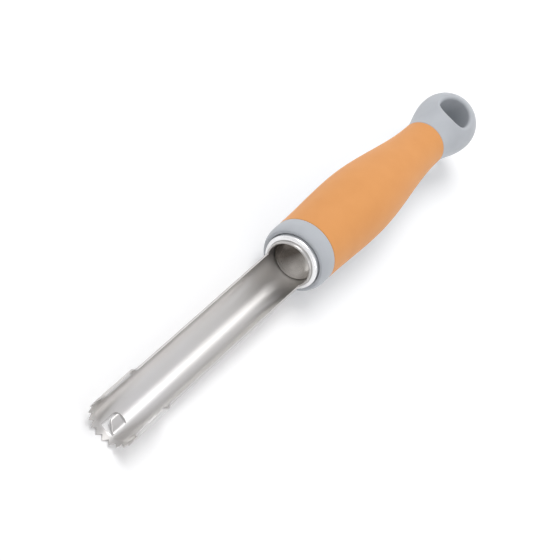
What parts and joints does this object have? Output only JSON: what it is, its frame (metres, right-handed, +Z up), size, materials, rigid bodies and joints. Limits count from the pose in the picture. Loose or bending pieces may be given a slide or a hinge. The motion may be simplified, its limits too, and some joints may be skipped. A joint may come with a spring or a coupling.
{
  "type": "vegetable corer",
  "caption": "Vegetable corer with a toothed half-round steel trough, raised side edges, a lanced cutting tongue and a soft-grip handle with a hanging hole.",
  "frame": {"origin": "on the surface that the tool lies on, under the middle of its length", "axes": "+X along the tool's axis from the teeth to the butt, +Z up out of the open side of the trough, +Y to the left seen from the teeth"},
  "size_m": [0.2226, 0.0248, 0.0248],
  "materials": {
    "brushed_stainless": "brushed round the tube",
    "plain_stainless": "satin",
    "polished_stainless": "polished",
    "grey_plastic": "fine satin",
    "orange_soft_grip": "matte soft touch"
  },
  "bodies": {
    "root": {"coring_tube": "brushed_stainless", "tube_plug": "plain_stainless", "ferrule": "polished_stainless", "handle_core": "grey_plastic", "grip_sleeve": "orange_soft_grip"}
  },
  "joints": []
}
